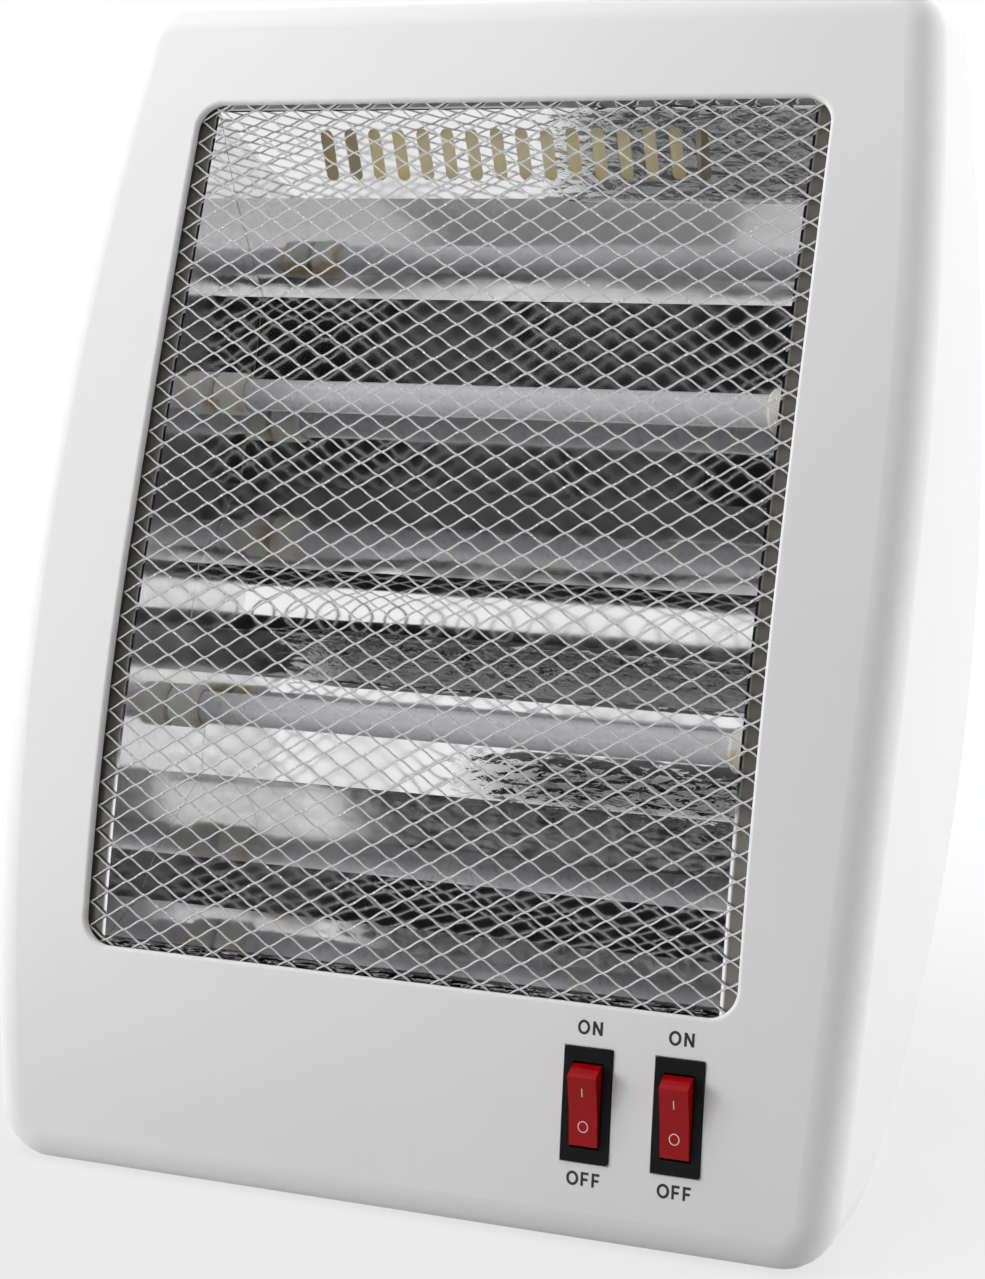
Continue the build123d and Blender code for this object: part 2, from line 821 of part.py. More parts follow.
def make_switch_housing(x):
    bezel = Pos(0, 0, -bezel_thickness / 2) * Box(bezel_width, bezel_height, bezel_thickness)
    bezel = fillet(bezel.edges().filter_by(Axis.Z), bezel_corner_radius)
    depth = switch_body_depth
    trunk = Pos(0, 0, -bezel_thickness - depth / 2) * Box(switch_body_width, switch_body_height, depth)
    wedge = make_face(
        Polyline(
            (switch_body_height / 2, -latch_top),
            (switch_body_height / 2 + latch_height, -latch_top),
            (switch_body_height / 2, -latch_top - latch_length),
            close=True,
        )
    )
    wedge = extrude(Plane.YZ * wedge, amount=switch_body_width / 4, both=True)
    well = Pos(0, 0, -well_depth / 2) * Box(well_width, well_length, well_depth)
    holes = rod_x(pin_radius + pin_play, -switch_body_width, switch_body_width, 0, -pivot_depth)
    housing = bezel + trunk + wedge + mirror(wedge, about=Plane.XZ) - well - holes
    return switch_frame(x) * housing


def make_rocker(x):
    """Rocker at OFF: its lower half pressed in, its upper half proud."""
    side = rocker_reach * sin(rocker_half_angle)
    crown = rocker_reach * cos(rocker_half_angle)
    slope = rocker_half_angle + (pi / 2 - rocker_half_angle) / 2
    edges = [
        Polyline((-side, crown), (0, crown - rocker_dish), (side, crown)),
        ThreePointArc(
            (side, crown),
            (rocker_reach * sin(slope), rocker_reach * cos(slope)),
            (rocker_reach, 0),
        ),
        Line((rocker_reach, 0), (rocker_hub_radius, 0)),
        ThreePointArc((rocker_hub_radius, 0), (0, -rocker_hub_radius), (-rocker_hub_radius, 0)),
        Line((-rocker_hub_radius, 0), (-rocker_reach, 0)),
        ThreePointArc(
            (-rocker_reach, 0),
            (-rocker_reach * sin(slope), rocker_reach * cos(slope)),
            (-side, crown),
        ),
    ]
    key = extrude(Plane.YZ * make_face(edges), amount=rocker_width / 2, both=True)
    pin_reach = rocker_width / 2 + pin_length
    key = key + rod_x(pin_radius, -pin_reach, pin_reach, 0, 0)
    return switch_frame(x) * (Pos(0, 0, -pivot_depth) * Rot(degrees(rocker_tilt), 0, 0) * key)


def make_switch_tabs(x):
    end = -bezel_thickness - switch_body_depth
    tabs = []
    for row in (-1, 0, 1):
        tab = Pos(0, row * tab_pitch, end - tab_length / 2) * Box(tab_width, tab_thickness, tab_length)
        tab = tab - Pos(0, row * tab_pitch, end - tab_length * 0.6) * Rot(90, 0, 0) * Cylinder(
            tab_thickness, tab_thickness * 3
        )
        tabs.append(switch_frame(x) * tab)
    return Compound(children=tabs)


def make_screws(places, shank_radius, head_radius, head_height, length):
    """Pan-head screws, each given by the frame at its seat, pointing down -z."""
    screws = []
    for frame in places:
        head = Cylinder(head_radius, head_height, align=(Align.CENTER, Align.CENTER, Align.MIN))
        head = chamfer(head.edges().group_by(Axis.Z)[-1], head_edge_bevel)
        shank = Cylinder(shank_radius, length, align=(Align.CENTER, Align.CENTER, Align.MAX))
        arm = Box(head_radius, cross_slot_width, head_height)
        cross = Pos(0, 0, head_height) * (arm + Rot(0, 0, 90) * arm)
        screws.append(frame * (head + shank - cross))
    return Compound(children=screws)


def cover_screw_frames():
    frames = []
    for height in screw_heights:
        for x in (-screw_x, screw_x):
            frames.append(
                Plane(origin=(x, pad_face_y(height), height), x_dir=(1, 0, 0), z_dir=(0, 1, 0))
            )
    return frames


def flange_screw_frames():
    frames = []
    for rise in flange_screw_rises:
        lean = lean_at(rise)
        for x in (-flange_screw_x, flange_screw_x):
            place = front_point(rise, flange_depth + sheet + seat_gap / 2)
            frames.append(
                Plane(origin=(x, *place), x_dir=(1, 0, 0), z_dir=(0, cos(lean), -sin(lean)))
            )
    return frames


def make_foot(x, y, radius, height, floor):
    """Rubber pad with a stem that fills its hole in the wall above."""
    pad = rod_z(radius, 0, height, x, y)
    pad = chamfer(pad.edges().group_by(Axis.Z)[0], foot_edge_bevel)
    return pad + rod_z(foot_stem_radius, height, floor, x, y)


def make_rear_foot(x):
    """Rubber foot with a barb that holds it above the floor of the base."""
    foot = make_foot(x, rear_foot_y, rear_foot_radius, base_bottom, base_floor + seat_gap)
    low = base_floor + seat_gap
    barb = Cone(foot_barb_radius, foot_barb_tip_radius, foot_barb_height)
    return foot + Pos(x, rear_foot_y, low + foot_barb_height / 2) * barb


# The tip-over switch, from the floor up
chamber_low = base_floor + seat_gap + tip_guide_height
chamber_high = chamber_low + tip_chamber_height
collar_low = chamber_low + plunger_travel + fit_gap
collar_high = collar_low + plunger_collar_height
tip_y = rim_y - tip_y_from_rim


def make_tip_housing():
    height = chamber_high + tip_roof - base_floor
    block = Pos(tip_x, tip_y, base_floor + height / 2) * Box(tip_width, tip_depth, height)
    block = fillet(block.edges().filter_by(Axis.Z), tip_corner_radius)
    guide = rod_z(plunger_radius + plunger_play, base_bottom, chamber_low + 1, tip_x, tip_y)
    chamber = rod_z(tip_chamber_radius, chamber_low, chamber_high, tip_x, tip_y)
    return block - guide - chamber


def make_tip_plunger():
    rod = rod_z(plunger_radius, 0, collar_high, tip_x, tip_y)
    collar = rod_z(plunger_collar_radius, collar_low, collar_high, tip_x, tip_y)
    tip = rod.edges().group_by(Axis.Z)[0]
    return chamfer(tip, plunger_tip_bevel) + collar


def make_tip_spring():
    """Compression spring between the plunger's collar and the roof of the chamber."""
    low = collar_high + seat_gap + spring_wire_radius
    high = chamber_high - seat_gap - spring_wire_radius
    pitch = (high - low) / spring_turns
    print("least gap between turns of the spring", round(pitch - 2 * spring_wire_radius, 3))

    def place(turn):
        angle = 2 * pi * turn
        return (spring_radius * cos(angle), spring_radius * sin(angle), pitch * turn)

    starts = [quarter / 4 for quarter in range(4 * spring_turns)]
    path = Wire([ThreePointArc(place(t), place(t + 1 / 8), place(t + 1 / 4)) for t in starts])
    wire = RegularPolygon(spring_wire_radius, spring_wire_sides)
    profile = Plane(origin=path @ 0, z_dir=path % 0) * wire
    return Pos(tip_x, tip_y, low) * sweep(profile, path=path)


def make_tip_tabs():
    tabs = []
    for side in (-1, 1):
        middle = chamber_high + tip_roof + tab_length / 2
        tab = Box(tab_width, tab_thickness, tab_length)
        tabs.append(Pos(tip_x + side * tip_tab_offset, tip_y, middle) * tab)
    return Compound(children=tabs)


def make_gland():
    flange = rod_y(gland_flange_radius, base_back, base_back + gland_flange_thickness, gland_x, gland_z)
    neck = rod_y(gland_neck_radius, base_back - gland_length, base_back, gland_x, gland_z)
    bore = rod_y(gland_bore_radius, base_back - 2 * gland_length, rim_y * 2, gland_x, gland_z)
    return flange + neck - bore


pieces = {
    "front_cover": make_front_cover(),
    "rear_cover": make_rear_cover(),
    "guard_net": make_guard_net(),
    "reflector": make_reflector(),
    "reflector_side_right": make_reflector_side(),
    "terminal_studs": make_terminal_studs(),
    "terminal_nuts": make_terminal_nuts(),
    "cover_screws": make_screws(
        cover_screw_frames(), screw_shank_radius, screw_head_radius, screw_head_height, screw_length
    ),
    "flange_screws": make_screws(
        flange_screw_frames(), flange_screw_radius, flange_screw_head_radius,
        flange_screw_head_height, flange_screw_length,
    ),
    "tip_switch_housing": make_tip_housing(),
    "tip_switch_plunger": make_tip_plunger(),
    "tip_switch_spring": make_tip_spring(),
    "tip_switch_terminals": make_tip_tabs(),
    "cord_gland": make_gland(),
}
pieces["reflector_side_left"] = mirrored(pieces["reflector_side_right"])
for level, rise in tube_rises.items():
    pieces["quartz_tube_" + level] = make_tube(rise)
    pieces["heating_coil_" + level] = make_coil(rise)
    socket = make_socket(rise)
    pieces["tube_socket_" + level + "_right"] = socket
    pieces["tube_socket_" + level + "_left"] = mirrored(socket)
for side, x in switch_x.items():
    pieces["switch_housing_" + side] = make_switch_housing(x)
    pieces["rocker_" + side] = make_rocker(x)
    pieces["switch_terminals_" + side] = make_switch_tabs(x)
for side, sign in (("left", -1), ("right", 1)):
    pieces["foot_front_" + side] = make_foot(
        sign * front_foot_x, front_foot_y, front_foot_radius, shell_bottom, shell_bottom + shell_wall
    )
    pieces["foot_rear_" + side] = make_rear_foot(sign * rear_foot_x)

for name, piece in pieces.items():
    export_step(piece, "parts/" + name + ".step")
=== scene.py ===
import json
from math import asin, cos, hypot, pi, radians, sin

import bpy
from mathutils import Matrix, Vector
from mathutils.bvhtree import BVHTree


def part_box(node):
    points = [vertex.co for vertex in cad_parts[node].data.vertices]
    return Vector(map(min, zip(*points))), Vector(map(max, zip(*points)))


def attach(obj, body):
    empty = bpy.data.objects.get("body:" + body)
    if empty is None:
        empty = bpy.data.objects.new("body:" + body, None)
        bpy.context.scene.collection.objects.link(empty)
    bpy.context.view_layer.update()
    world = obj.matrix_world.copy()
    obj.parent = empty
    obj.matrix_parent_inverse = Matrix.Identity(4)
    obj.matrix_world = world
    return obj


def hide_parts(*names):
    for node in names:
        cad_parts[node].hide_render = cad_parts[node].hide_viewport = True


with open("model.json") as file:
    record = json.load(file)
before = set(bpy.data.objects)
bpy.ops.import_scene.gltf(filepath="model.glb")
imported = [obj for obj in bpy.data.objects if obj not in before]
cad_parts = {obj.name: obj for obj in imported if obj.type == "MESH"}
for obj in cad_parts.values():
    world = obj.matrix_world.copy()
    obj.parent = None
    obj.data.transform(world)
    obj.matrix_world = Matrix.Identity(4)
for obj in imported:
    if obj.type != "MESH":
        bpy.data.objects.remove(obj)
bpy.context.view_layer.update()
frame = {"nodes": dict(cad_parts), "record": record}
nodes = frame["nodes"]
mm = 0.001

# Camera, fitted to the photograph
camera_place = Vector((0.2836, -0.6931, 0.2813))
camera_direction = Vector((-0.3657, 0.9150, -0.1702))
camera_lens = 73.66
camera_film = 36.0

# Front panel, as two arcs that meet smoothly, measured along the face from the window sill
body_depth = 122.7 * mm
sill_height = 66.0 * mm
sill_lean = radians(9.9)
toe_height = 8.85 * mm
lower_front_radius = 630.0 * mm
upper_front_radius = 2650.0 * mm
join_rise = 114.0 * mm
window_width = 196.0 * mm
window_rise = 254.4 * mm

# Guard net
net_depth = 2.5 * mm
strand_width = 0.62 * mm
strand_depth = 0.6 * mm
strand_sides = 6
diamond_width = 11.7 * mm
diamond_height = 7.0 * mm
diamond_columns = 17
diamond_rows = 37
bond_flatness = 0.32
steps_per_segment = 6

# Lettering beside the switches and marks on the rockers
letter_height = 3.7 * mm
letter_stroke = 0.74 * mm
letter_lift = 0.04 * mm
on_rise = -8.3 * mm
off_rise = -49.4 * mm
mark_stroke = 0.26 * mm
mark_lift = 0.03 * mm
i_mark_low = 3.2 * mm
i_mark_high = 5.6 * mm
o_mark_middle = -5.2 * mm
o_mark_half_width = 1.35 * mm
o_mark_half_height = 1.5 * mm
letter_steps = 24
mark_steps = 20
ray_start = 10 * mm
ray_reach = 30 * mm

# Places on the reflector's folds in mm: rise along the panel, and depth behind it
fold_places = {
    "toe_low": (0.5, 3.3),
    "toe_high": (2.5, 6),
    "trough_low": (52, 55),
    "trough_high": (66, 54),
    "neck_low": (86, 52),
    "neck_high": (99, 36),
    "belly_high": (119.5, 36),
    "head_low": (233, 22),
    "head_high": (253, 3.3),
}
# Crumpled panels in mm: softness of their edges, and where across them the crumples start and are full
crumpled_panels = {
    "neck": (1.5, -70, -40),
    "head": (1.5, 5, 40),
    "trough": (3, -15, 25),
}
# Where the side plates' flange lies across X; its dull finish is real, its dark brown is painted shade
flange_inner = 93.2 * mm
flange_outer = 94.2 * mm

# Painted warm glow of backlit plastic on the inner face of the grip pocket's wall, seen through the
# reflector's slots
painted_glow_low = 255 * mm
painted_glow_high = 330 * mm
painted_glow_edge = 10 * mm
painted_glow_front = 44.8 * mm
painted_glow_back = 45.4 * mm

# Studio: lamps by place, size and power in watts, and cards by place, size and shade
light_target = Vector((0, 0, 0.17))
lamps = {
    "top_left": ((-0.45, -0.15, 0.9), 0.4, 2.2),
    "top": ((0.0, -0.25, 1.1), 0.5, 2.4),
    "top_back": ((0.0, 0.3, 1.1), 0.6, 1.0),
    "left_side": ((-1.1, -0.6, 0.5), 0.6, 6.4),
    "left_low": ((-0.9, -0.9, 0.25), 0.5, 5.4),
    "right_low": ((1.0, 0.1, 0.2), 0.5, 4.6),
    "right_rear": ((1.0, 0.5, 0.6), 0.8, 3.5),
    "rear": ((0.2, 1.1, 0.7), 0.9, 10.0),
}
high_card_place = Vector((0.0, -1.11, 1.32))
high_card_size = (3.6, 2.08)
high_card_shade = 0.008
# Card on the floor in front of the object: painted shadow of the object, seen only in reflections
floor_shadow_card_place = Vector((-0.24, -0.175, 0.003))
floor_shadow_card_size = (0.44, 0.17)
floor_shadow_card_shade = 0.12
world_fill = 0.04
floor_radius = 3.0
floor_sides = 96
floor_grey = 0.5
floor_near = 0.1
floor_far = 0.5
floor_near_whiteness = 0.7

# The front panel's curve
toe_lean = asin(sin(sill_lean) - (sill_height - toe_height) / lower_front_radius)
sill_y = (lower_front_radius * (cos(toe_lean) - cos(sill_lean)) - body_depth) / 2
join_lean = sill_lean + join_rise / lower_front_radius

# The net's lower edge and sides
net_low = (window_rise - diamond_rows * diamond_height) / 2
net_left = -window_width / 2
net_right = net_left + diamond_columns * diamond_width


def lean_at(rise):
    """How far the face leans back at that rise."""
    if rise <= join_rise:
        return sill_lean + rise / lower_front_radius
    return join_lean + (rise - join_rise) / upper_front_radius


def front_point(x, rise, depth=0.0):
    """Point at x that lies rise along the face above the sill and depth behind the face."""
    lean = lean_at(rise)
    low_lean = min(lean, join_lean)
    y = lower_front_radius * (cos(sill_lean) - cos(low_lean))
    z = lower_front_radius * (sin(low_lean) - sin(sill_lean))
    if rise > join_rise:
        y += upper_front_radius * (cos(join_lean) - cos(lean))
        z += upper_front_radius * (sin(lean) - sin(join_lean))
    return Vector((x, sill_y + y + depth * cos(lean), sill_height + z - depth * sin(lean)))


def outward(rise):
    """Direction square to the face, out of it."""
    lean = lean_at(rise)
    return Vector((0, -cos(lean), sin(lean)))


def new_mesh(name, vertices, faces, material, body):
    """Smooth piece that rides on a body."""
    mesh = bpy.data.meshes.new(name)
    mesh.from_pydata(vertices, [], faces)
    mesh.update()
    mesh.materials.append(material)
    for polygon in mesh.polygons:
        polygon.use_smooth = True
    piece = bpy.data.objects.new(name, mesh)
    bpy.context.collection.objects.link(piece)
    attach(piece, body)
    return piece


class Shader:
    """Material whose nodes end in one principled shader."""

    def __init__(self, name, colour, metallic=0.0, roughness=0.5, **values):
        self.material = bpy.data.materials.new(name)
        self.material.use_nodes = True
        self.tree = self.material.node_tree
        self.surface = self.tree.nodes["Principled BSDF"]
        self.surface.inputs["Base Color"].default_value = (*colour, 1)
        self.surface.inputs["Metallic"].default_value = metallic
        self.surface.inputs["Roughness"].default_value = roughness
        for socket, value in values.items():
            self.surface.inputs[socket.replace("_", " ")].default_value = value
        self.places = self.add("ShaderNodeTexCoord").outputs["Object"]

    def add(self, kind, **settings):
        node = self.tree.nodes.new(kind)
        for name, value in settings.items():
            setattr(node, name, value)
        return node

    def link(self, source, socket):
        self.tree.links.new(source, socket)

    def stretched(self, stretch):
        mapping = self.add("ShaderNodeMapping")
        mapping.inputs["Scale"].default_value = stretch
        self.link(self.places, mapping.inputs["Vector"])
        return mapping.outputs["Vector"]

    def noise(self, scale, detail=2.0, stretch=(1, 1, 1), distortion=0.0):
        """Noise whose features are about 1 / scale metres across."""
        noise = self.add("ShaderNodeTexNoise")
        noise.inputs["Scale"].default_value = scale
        noise.inputs["Detail"].default_value = detail
        noise.inputs["Distortion"].default_value = distortion
        self.link(self.stretched(stretch), noise.inputs["Vector"])
        return noise.outputs["Fac"]

    def cells(self, scale, stretch=(1, 1, 1)):
        """Distance to the borders of irregular cells."""
        cells = self.add("ShaderNodeTexVoronoi", feature="DISTANCE_TO_EDGE")
        cells.inputs["Scale"].default_value = scale
        self.link(self.stretched(stretch), cells.inputs["Vector"])
        return cells.outputs["Distance"]

    def spread(self, value, low, high, to_low, to_high):
        """Value from low to high turned into to_low to to_high."""
        spread = self.add("ShaderNodeMapRange", interpolation_type="SMOOTHSTEP")
        self.link(value, spread.inputs["Value"])
        for name, number in (
            ("From Min", low), ("From Max", high), ("To Min", to_low), ("To Max", to_high),
        ):
            spread.inputs[name].default_value = number
        return spread.outputs["Result"]

    def place(self, axis):
        """Place along X, Y or Z: to the right, backwards or up."""
        split = self.add("ShaderNodeSeparateXYZ")
        self.link(self.places, split.inputs["Vector"])
        return split.outputs[axis]

    def maths(self, operation, first, second=0):
        maths = self.add("ShaderNodeMath", operation=operation)
        for socket, value in zip(maths.inputs, (first, second)):
            if isinstance(value, (int, float)):
                socket.default_value = value
            else:
                self.link(value, socket)
        return maths.outputs["Value"]

    def between(self, value, low, high, soft):
        """One where the value lies between low and high, zero elsewhere."""
        rising = self.spread(value, low - soft, low + soft, 0, 1)
        falling = self.spread(value, high - soft, high + soft, 1, 0)
        return self.maths("MULTIPLY", rising, falling)

    def blend(self, share, first, second):
        """Colour between two, by share."""
        mix = self.add("ShaderNodeMix", data_type="RGBA")
        self.link(share, mix.inputs[0])
        for socket, colour in ((mix.inputs[6], first), (mix.inputs[7], second)):
            if isinstance(colour, tuple):
                socket.default_value = (*colour, 1)
            else:
                self.link(colour, socket)
        return mix.outputs[2]

    def colour(self, source):
        self.link(source, self.surface.inputs["Base Color"])

    def roughness(self, noise, low, high, quiet=0.3, loud=0.7):
        """Roughness from low to high as the noise goes from quiet to loud."""
        self.link(self.spread(noise, quiet, loud, low, high), self.surface.inputs["Roughness"])

    def bump(self, source, distance, strength=1.0):
        """Adds relief of that depth in metres, on top of any added before."""
        bump = self.add("ShaderNodeBump")
        bump.inputs["Distance"].default_value = distance
        bump.inputs["Strength"].default_value = strength
        self.link(source, bump.inputs["Height"])
        normal = self.surface.inputs["Normal"]
        if normal.is_linked:
            self.link(normal.links[0].from_socket, bump.inputs["Normal"])
        self.link(bump.outputs["Normal"], normal)


def shell_plastic():
    """White moulded plastic with a fine satin grain."""
    shader = Shader(
        "shell_plastic", (0.84, 0.84, 0.85), roughness=0.38, Coat_Weight=0.12, Coat_Roughness=0.25,
    )
    cloud = shader.noise(9, 3)
    shader.colour(shader.blend(cloud, (0.82, 0.82, 0.832), (0.86, 0.86, 0.866)))
    shader.roughness(shader.noise(40, 4), 0.33, 0.43)
    shader.bump(shader.noise(2400, 2), 0.012 * mm, 0.5)
    shader.bump(shader.noise(14, 1), 0.1 * mm, 0.25)
    return shader.material


def cover_plastic():
    """White plastic of the rear cover: a little rougher, lets light in, and is tinted cream inside as a
    painted glow of light shining through it.
    """
    shader = Shader(
        "cover_plastic", (0.82, 0.82, 0.83), roughness=0.45,
        Subsurface_Weight=0.8, Subsurface_Radius=(1.0, 0.8, 0.5), Subsurface_Scale=5 * mm,
    )
    # Cream tint on the pocket wall behind the slots: painted glow of light through the thin plastic
    painted_glow = shader.between(shader.place("Z"), painted_glow_low, painted_glow_high, painted_glow_edge)
    inside = shader.spread(shader.place("Y"), painted_glow_front, painted_glow_back, 1, 0)
    painted_glow = shader.maths("MULTIPLY", painted_glow, inside)
    painted_glow = shader.maths("MULTIPLY", painted_glow, shader.spread(shader.noise(30, 3), 0.2, 0.8, 0.5, 1))
    shader.colour(shader.blend(painted_glow, (0.82, 0.82, 0.83), (0.95, 0.87, 0.72)))
    shader.roughness(shader.noise(60, 4), 0.4, 0.52)
    shader.bump(shader.noise(1800, 2), 0.02 * mm, 0.6)
    return shader.material


def fold_height(name):
    """Height above the floor of a place on the reflector's folds."""
    rise, depth = fold_places[name]
    return front_point(0, rise * mm, depth * mm).z


def crumpled_places(shader):
    """One where the reflector is crumpled: at its toe, and on the right of three panels."""
    height = shader.place("Z")
    crumpled = shader.spread(height, fold_height("toe_low"), fold_height("toe_high"), 1, 0)
    for name, (soft, start, full) in crumpled_panels.items():
        panel = shader.between(height, fold_height(name + "_low"), fold_height(name + "_high"), soft * mm)
        right = shader.spread(shader.place("X"), start * mm, full * mm, 0, 1)
        crumpled = shader.maths("MAXIMUM", crumpled, shader.maths("MULTIPLY", panel, right))
    return crumpled


def aluminium(name, folded):
    """Bright rolled sheet, streaked and softly buckled: crumpled in some folds, with the crumples darkened
    as painted shade, or with dull flanges whose dark brown is painted shade.
    """
    shader = Shader(name, (0.8, 0.8, 0.81), metallic=1.0, roughness=0.16)
    streaks = shader.noise(260, 4, stretch=(0.05, 1, 1))
    bright = shader.blend(streaks, (0.76, 0.76, 0.765), (0.93, 0.93, 0.935))
    shader.roughness(shader.noise(18, 3), 0.05, 0.13, 0.35, 0.65)
    shader.bump(streaks, 0.015 * mm, 0.5)
    shader.bump(shader.noise(13, 2), 1.1 * mm)
    shader.bump(shader.noise(45, 2), 0.14 * mm)
    if folded:
        bulge = shader.spread(shader.place("Z"), fold_height("neck_high"), fold_height("belly_high"), 0, 1)
        shader.bump(bulge, 2.4 * mm)
        crumpled = crumpled_places(shader)
        # Darker base colour where crumpled: painted shade of the crinkles
        bright = shader.blend(crumpled, bright, (0.24, 0.24, 0.245))
        creases = shader.cells(150, stretch=(0.7, 1, 1.6))
        fine = shader.noise(210, 3, stretch=(0.6, 1, 1.4), distortion=0.6)
        relief = shader.maths("MULTIPLY", crumpled, shader.maths("ADD", creases, fine))
        shader.bump(relief, 1.2 * mm)
    else:
        away = shader.maths("ABSOLUTE", shader.place("X"))
        flange = shader.spread(away, flange_inner, flange_outer, 0, 1)
        # Dull flange, painted dark brown as the shade it lies in
        bright = shader.blend(flange, bright, (0.17, 0.16, 0.14))
        shader.link(shader.spread(flange, 0, 1, 1, 0.2), shader.surface.inputs["Metallic"])
    shader.colour(bright)
    return shader.material


def net_steel():
    """Plated steel strands with small scratches."""
    shader = Shader("net_steel", (0.86, 0.86, 0.87), metallic=0.65, roughness=0.2)
    shader.colour(shader.blend(shader.noise(300, 3), (0.8, 0.8, 0.81), (0.92, 0.92, 0.93)))
    shader.roughness(shader.noise(900, 2), 0.14, 0.28)
    shader.bump(shader.noise(1500, 2), 0.02 * mm, 0.5)
    return shader.material


def frosted_quartz():
    """Milky quartz, satin outside, that lets a little light through."""
    shader = Shader(
        "frosted_quartz", (0.72, 0.72, 0.76), roughness=0.3, Transmission_Weight=0.25, IOR=1.46,
        Coat_Weight=0.4, Coat_Roughness=0.18,
    )
    milk = shader.noise(60, 4, stretch=(0.12, 1, 1))
    shader.colour(shader.blend(milk, (0.68, 0.68, 0.71), (0.87, 0.87, 0.89)))
    shader.roughness(shader.noise(400, 3), 0.24, 0.4)
    shader.bump(shader.noise(120, 3, stretch=(0.1, 1, 1)), 0.05 * mm, 0.4)
    return shader.material


def pale_ceramic():
    """Unglazed steatite with amber stains."""
    shader = Shader("pale_ceramic", (0.84, 0.8, 0.7), roughness=0.55)
    stain = shader.spread(shader.noise(110, 4), 0.54, 0.68, 0, 0.9)
    shader.colour(shader.blend(stain, (0.72, 0.71, 0.67), (0.55, 0.36, 0.13)))
    shader.roughness(shader.noise(500, 3), 0.45, 0.65)
    shader.bump(shader.noise(1300, 3), 0.03 * mm, 0.7)
    return shader.material


def plated_metal(name, low, high, roughness):
    """Small metal parts, tumbled and plated."""
    shader = Shader(name, high, metallic=1.0, roughness=roughness)
    shader.colour(shader.blend(shader.noise(500, 3), low, high))
    shader.roughness(shader.noise(900, 3), roughness * 0.7, roughness * 1.3)
    shader.bump(shader.noise(1600, 2), 0.02 * mm, 0.6)
    return shader.material


def moulded(name, low, high, roughness, grain, coat=0.0, specular=0.5):
    """Moulded plastic or rubber between two shades, with a fine grain of that depth."""
    shader = Shader(
        name, high, roughness=roughness, Coat_Weight=coat, Coat_Roughness=0.08, Specular_IOR_Level=specular,
    )
    shader.colour(shader.blend(shader.noise(70, 3), low, high))
    shader.roughness(shader.noise(250, 3), roughness * 0.8, roughness * 1.25)
    shader.bump(shader.noise(1900, 2), grain, 0.6)
    return shader.material


def printed(name, colour):
    """Thin printed ink."""
    shader = Shader(name, colour, roughness=0.45)
    lighter = tuple(part + 0.02 for part in colour)
    shader.colour(shader.blend(shader.noise(700, 2), colour, lighter))
    shader.bump(shader.noise(2200, 2), 0.01 * mm, 0.4)
    return shader.material


shell_material = shell_plastic()
cover_material = cover_plastic()
reflector_material = aluminium("bright_aluminium", True)
side_material = aluminium("side_aluminium", False)
net_material = net_steel()
quartz_material = frosted_quartz()
ceramic_material = pale_ceramic()
zinc_material = plated_metal("zinc_steel", (0.5, 0.5, 0.49), (0.66, 0.66, 0.64), 0.34)
spring_material = plated_metal("spring_steel", (0.42, 0.42, 0.43), (0.58, 0.58, 0.58), 0.25)
brass_material = plated_metal("brass_tab", (0.66, 0.48, 0.2), (0.82, 0.64, 0.32), 0.3)
wire_material = plated_metal("resistance_wire", (0.2, 0.18, 0.17), (0.36, 0.33, 0.31), 0.5)
black_gloss = moulded(
    "switch_black", (0.006, 0.006, 0.007), (0.012, 0.012, 0.013), 0.34, 0.008 * mm, specular=0.1,
)
red_gloss = moulded(
    "rocker_red", (0.3, 0.001, 0.003), (0.42, 0.002, 0.005), 0.2, 0.004 * mm, coat=0.1, specular=0.16,
)
black_nylon = moulded("black_nylon", (0.018, 0.018, 0.019), (0.034, 0.034, 0.036), 0.5, 0.02 * mm)
foot_rubber = moulded("foot_rubber", (0.03, 0.03, 0.031), (0.055, 0.055, 0.056), 0.75, 0.03 * mm)
black_ink = printed("black_ink", (0.012, 0.012, 0.013))
pale_ink = printed("pale_ink", (0.82, 0.74, 0.72))

slot_materials = {
    "shell_white": shell_material,
    "net_steel": net_material,
    "bright_aluminium": reflector_material,
    "frosted_quartz": quartz_material,
    "white_ceramic": ceramic_material,
    "resistance_wire": wire_material,
    "zinc_steel": zinc_material,
    "brass_tab": brass_material,
    "switch_black": black_gloss,
    "rocker_red": red_gloss,
    "black_nylon": black_nylon,
    "foot_rubber": foot_rubber,
    "spring_steel": spring_material,
}
own_materials = {
    "rear_cover": cover_material,
    "reflector_side_left": side_material,
    "reflector_side_right": side_material,
}


def dress_nodes():
    """Gives every carried-over node its material."""
    for subpart in frame["record"]["subparts"]:
        name = subpart["node"]
        material = own_materials.get(name, slot_materials[subpart["material_slot"]])
        slots = nodes[name].material_slots
        for index in range(len(slots)):
            slots[index].material = material
        if len(slots) == 0:
            nodes[name].data.materials.append(material)


def strand_line(row):
    """Points of one strand of the net, as it runs between its two rows of bonds."""
    points = []
    for segment in range(2 * diamond_columns):
        climbs = (segment + row) % 2 == 0
        for step in range(steps_per_segment):
            share = step / steps_per_segment
            climb = share - bond_flatness * sin(2 * pi * share) / (2 * pi)
            if not climbs:
                climb = 1 - climb
            x = net_left + (segment + share) * diamond_width / 2
            points.append((x, net_low + (row + climb) * diamond_height / 2))
    last_climb = 0 if (2 * diamond_columns + row) % 2 == 0 else 1
    points.append((net_right, net_low + (row + last_climb) * diamond_height / 2))
    return points


